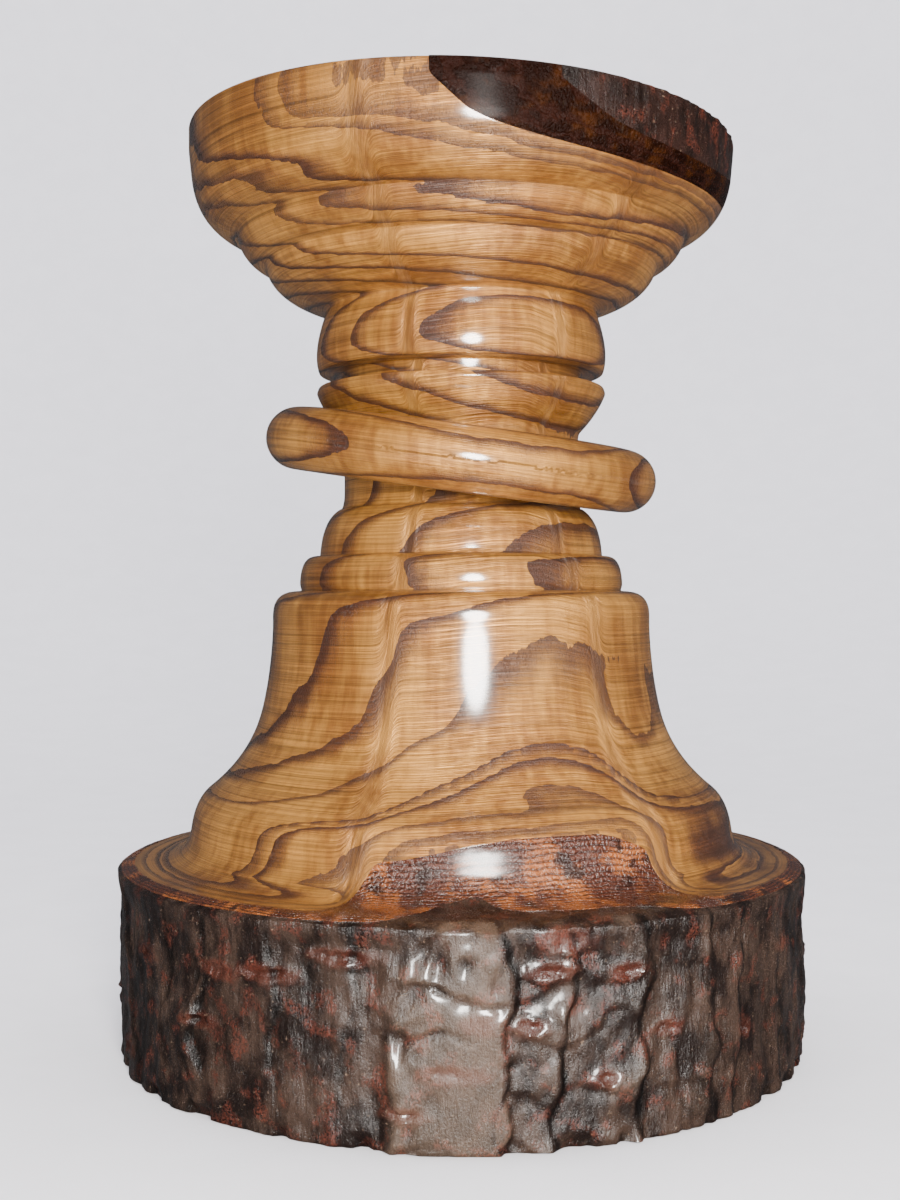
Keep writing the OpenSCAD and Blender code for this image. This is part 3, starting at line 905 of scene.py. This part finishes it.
def grown(bearing, r, z, along):
    """Surface attributes of the turned wood."""
    years, width = year_at(z, r, log_outline(bearing, z))
    return {"years": years, "year_width": width, "along_cut": along}


class CANDLE_OT_turned_wood(bpy.types.Operator):
    """Builds the turned wooden body"""
    bl_idname = "candle.turned_wood"
    bl_label = "Turned wood"

    def execute(self, context):
        settings = context.scene.candle_wood
        piece = sectioned_piece("turned_wood", wood_section, settings.columns, marks=grown)
        settle(piece, "candlestick", "turned_body", wood_material("Varnished wood", settings))
        return {"FINISHED"}


class CANDLE_OT_loose_ring(bpy.types.Operator):
    """Builds the loose ring that leans on the neck"""
    bl_idname = "candle.loose_ring"
    bl_label = "Loose ring"

    def execute(self, context):
        settings = context.scene.candle_wood
        round_rows, columns = 88, 480
        circle = [(RING_R + RING_SECTION_R * math.cos(math.tau * i / round_rows),
                   RING_SECTION_R * math.sin(math.tau * i / round_rows)) for i in range(round_rows)]

        def ring_grown(bearing, r, z, along):
            years, width = year_at(z + RING_Z, r, ring_log(bearing))
            return {"years": years, "year_width": width, "along_cut": along + 40}

        piece = sectioned_piece("loose_ring", lambda bearing: circle, columns, closed=True, marks=ring_grown)
        lean = Matrix.Rotation(RING_HIGH_SIDE, 4, "Z") @ Matrix.Rotation(-RING_LEAN, 4, "Y") @ Matrix.Rotation(
            -RING_HIGH_SIDE, 4, "Z")
        piece.data.transform(Matrix.Translation((0, 0, RING_Z * MM)) @ lean)
        settle(piece, "ring", "captive_ring",
               wood_material("Varnished ring wood", settings, lathe=0.8, tint=0.94))
        return {"FINISHED"}


class CANDLE_OT_base_bark(bpy.types.Operator):
    """Builds the inner and the outer bark of the base"""
    bl_idname = "candle.base_bark"
    bl_label = "Base bark"

    def execute(self, context):
        settings = context.scene.candle_bark

        def layered(bearing, r, z, along):
            return {"layer": (base_wood(bearing) - r) + 0.6 * (z - BASE_H)}

        def rough(bearing, r, z, along):
            rise, cork, ridge_drop_shade = bark_relief(bearing, z)
            outside = smooth(r, 54.5, 56)
            # The rise attribute is lowered in the drop behind each ridge only to paint shade there in the bark's
            # colour.
            return {"rise": (rise - 1.5 * ridge_drop_shade) * outside - 0.15 * (1 - outside), "cork": cork * outside}

        inner = sectioned_piece("base_phloem", phloem_section, settings.columns, closed=True, marks=layered)
        settle(inner, "candlestick", "base_inner_bark",
               phloem_material("Cut inner bark", settings, tint=1.0, specular=0.7, coat=0.45, gloss=0.16))
        outer = sectioned_piece("base_bark", bark_section, settings.columns, closed=True, marks=rough, sharp=60)
        settle(outer, "candlestick", "base_outer_bark",
               bark_material("Natural bark", settings, settings.grey, specular=0.4))
        return {"FINISHED"}


class CANDLE_OT_rim_bark(bpy.types.Operator):
    """Builds the inner and the outer bark on the rim"""
    bl_idname = "candle.rim_bark"
    bl_label = "Rim bark"

    def execute(self, context):
        settings = context.scene.candle_bark

        def reach(offset):
            """Bearings between which the rim is wider than the log at this offset."""
            edge = next(b for b in range(0, 1800) if rim_wood(RIM_BARK_SIDE + b / 10) + offset > CUP_R) / 10
            return RIM_BARK_SIDE - edge, 2 * edge

        def layered(bearing, r, z, along):
            return {"layer": r - rim_wood(bearing)}

        def rough(bearing, r, z, along):
            return {"rise": 0.3 * smooth(bearing, 20, 40), "cork": 0.0}

        for name, node, low, high, marks, material in (
                ("rim_phloem", "rim_inner_bark", 0.0, RIM_PHLOEM_T, layered,
                 phloem_material("Cut rim inner bark", settings, tint=0.1, specular=0.05, coat=0.03, gloss=0.2)),
                ("rim_bark", "rim_outer_bark", RIM_PHLOEM_T, 9.0, rough,
                 bark_material("Rim bark", settings, settings.rim_bark, specular=0.15))):
            start, sweep = reach(low)
            piece = sectioned_piece(
                name, lambda bearing: rim_section(bearing, low, high, low > 0), round(sweep / 0.4), start, sweep,
                closed=True, marks=marks, sharp=50)
            settle(piece, "candlestick", node, material)
        return {"FINISHED"}


class CANDLE_OT_socket_metal(bpy.types.Operator):
    """Builds the brass candle cup and gives the screw its steel"""
    bl_idname = "candle.socket_metal"
    bl_label = "Socket metal"

    def execute(self, context):
        settings = context.scene.candle_metal
        low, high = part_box("candle_cup")
        flange_r, floor, rim = high.x / MM, low.z / MM, high.z / MM
        tube_r, well_r, sheet = SOCKET_R - 0.1, WELL_R - 0.1, 0.9
        bore_r, pit_r, floor_top, shelf_top = tube_r - sheet, well_r - sheet, floor + sheet, SHELF_Z + sheet
        section = [(SCREW_HOLE_R, floor), (SCREW_HOLE_R, floor_top), (pit_r - 0.5, floor_top),
                   (pit_r - 0.1, floor_top + 0.15), (pit_r, floor_top + 0.5), (pit_r, shelf_top - 0.4),
                   (pit_r + 0.3, shelf_top), (bore_r - 0.4, shelf_top), (bore_r, shelf_top + 0.4)]
        section += between((bore_r, shelf_top + 0.4), (bore_r, rim - 0.8), (0.25, 0.5, 0.75, 1))
        section += bend((bore_r, rim - 0.8), (bore_r, rim), (tube_r, rim), 5)[1:]
        section += [(tube_r + 1.6, rim), (tube_r + 1.8, rim - 0.14), (tube_r + 2.0, rim - 0.14), (tube_r + 2.2, rim)]
        section += bend((flange_r - 0.45, rim), (flange_r, rim), (flange_r, rim - 0.45), 5)
        section += bend((flange_r, rim - 0.5), (flange_r, rim - sheet), (flange_r - 0.4, rim - sheet), 4)
        section += [(tube_r, rim - sheet), (tube_r, SHELF_Z + 0.4), (tube_r - 0.4, SHELF_Z), (well_r, SHELF_Z),
                    (well_r, floor + 0.3), (well_r - 0.3, floor)]
        piece = sectioned_piece("brass_cup", lambda bearing: section, 160, closed=True)
        settle(piece, "candlestick", "candle_cup",
               metal_material("Brass", settings.brass, settings.brass_tarnish, 0.18))
        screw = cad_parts["cup_screw"]
        screw.data.materials.clear()
        screw.data.materials.append(metal_material("Steel", settings.steel, settings.steel_dull, 0.28))
        return {"FINISHED"}


class CANDLE_OT_stage(bpy.types.Operator):
    """Builds the pale studio: a bowl of paper, lights and camera"""
    bl_idname = "candle.stage"
    bl_label = "Studio"

    def execute(self, context):
        settings = context.scene.candle_stage
        flat_r, wall_r, curve_top, wall_top, under = 0.35, 1.05, 0.8, 1.9, 0.05 * MM
        bm = bmesh.new()
        path = [(0.0, 0.0)] + bend((flat_r, 0.0), (wall_r, 0.0), (wall_r, curve_top), 24) + [(wall_r, wall_top)]
        line = [bm.verts.new((0.0, r, z - under)) for r, z in path]
        edges = [bm.edges.new(pair) for pair in zip(line, line[1:])]
        bmesh.ops.spin(bm, geom=line + edges, cent=(0, 0, 0), axis=(0, 0, 1), angle=math.tau, steps=96,
                       use_merge=True)
        bmesh.ops.remove_doubles(bm, verts=bm.verts, dist=0.01 * MM)
        bmesh.ops.recalc_face_normals(bm, faces=bm.faces)
        paper = finished(bm, "paper_sweep", 60)
        material, web, shader = new_material("Paper")
        grain = web.cloud(web.place(), 0.06, 4, 0.6)
        tone = web.mix(web.step(grain, 0.3, 0.7), [c * 0.97 for c in settings.paper], settings.paper)
        web.feed(shader.inputs["Base Color"], tone)
        shader.inputs["Roughness"].default_value = 0.75
        paper.data.materials.append(material)
        paper.visible_glossy = False

        for name, place, aim, size, power, tint in (
                ("key", (0.058, -0.43, 0.125), (0, 0, 0.07), (0.10, 0.13), settings.key_power, (1.0, 0.97, 0.93)),
                ("fill", (0.0, 0.15, 1.3), (0, 0.2, 0.0), (1.7, 1.5), settings.fill_power, (0.96, 0.97, 1.0)),
                ("back", (0.0, 0.15, 1.5), (0, 1.05, 0.3), (1.7, 0.5), settings.fill_power * 2.2, (0.96, 0.97, 1.0))):
            lamp = bpy.data.lights.new(name, "AREA")
            lamp.shape = "ELLIPSE"
            lamp.size, lamp.size_y = size
            lamp.energy = power
            lamp.color = tint
            light = bpy.data.objects.new(name, lamp)
            light.location = place
            light.visible_glossy = name == "key"
            light.rotation_euler = (Vector(aim) - Vector(place)).to_track_quat("-Z", "Y").to_euler()
            context.scene.collection.objects.link(light)

        world = bpy.data.worlds.new("Pale room")
        world.use_nodes = True
        backdrop = world.node_tree.nodes["Background"]
        backdrop.inputs["Color"].default_value = (0.86, 0.87, 0.92, 1)
        room = Web(world.node_tree)
        seen_straight = room.add("LightPath")
        room.feed(backdrop.inputs["Strength"], room.ramp(seen_straight, 0.72, 0.12))
        context.scene.world = world

        camera = bpy.data.cameras.new("camera")
        camera.lens = settings.lens
        camera.sensor_width = 36
        camera.clip_start = 0.01
        viewer = bpy.data.objects.new("camera", camera)
        viewer.location = (-0.00187, -settings.distance, settings.height)
        viewer.rotation_euler = (math.radians(90), 0, 0)
        context.scene.collection.objects.link(viewer)
        context.scene.camera = viewer
        return {"FINISHED"}


OPERATORS = [CANDLE_OT_turned_wood, CANDLE_OT_loose_ring, CANDLE_OT_base_bark, CANDLE_OT_rim_bark,
             CANDLE_OT_socket_metal, CANDLE_OT_stage]


class CANDLE_PT_panel(bpy.types.Panel):
    """Lists the pieces of the candlestick and their settings"""
    bl_label = "Candlestick"
    bl_idname = "CANDLE_PT_panel"
    bl_space_type = "VIEW_3D"
    bl_region_type = "UI"
    bl_category = "Candlestick"

    def draw(self, context):
        for operator in OPERATORS:
            self.layout.operator(operator.bl_idname)
        for name in SETTINGS:
            group = getattr(context.scene, name)
            box = self.layout.box()
            for key in group.bl_rna.properties.keys():
                if key not in {"rna_type", "name"}:
                    box.prop(group, key)


SETTINGS = {"candle_wood": WoodSettings, "candle_bark": BarkSettings, "candle_metal": MetalSettings,
            "candle_stage": StageSettings}
CLASSES = [*SETTINGS.values(), *OPERATORS, CANDLE_PT_panel]


def register():
    for cls in CLASSES:
        bpy.utils.register_class(cls)
    for name, cls in SETTINGS.items():
        setattr(bpy.types.Scene, name, PointerProperty(type=cls))


def unregister():
    for name in SETTINGS:
        delattr(bpy.types.Scene, name)
    for cls in reversed(CLASSES):
        bpy.utils.unregister_class(cls)


def main():
    register()
    for operator in (bpy.ops.candle.stage, bpy.ops.candle.turned_wood, bpy.ops.candle.loose_ring,
                     bpy.ops.candle.base_bark, bpy.ops.candle.rim_bark, bpy.ops.candle.socket_metal):
        operator()


if __name__ == "__main__":
    main()
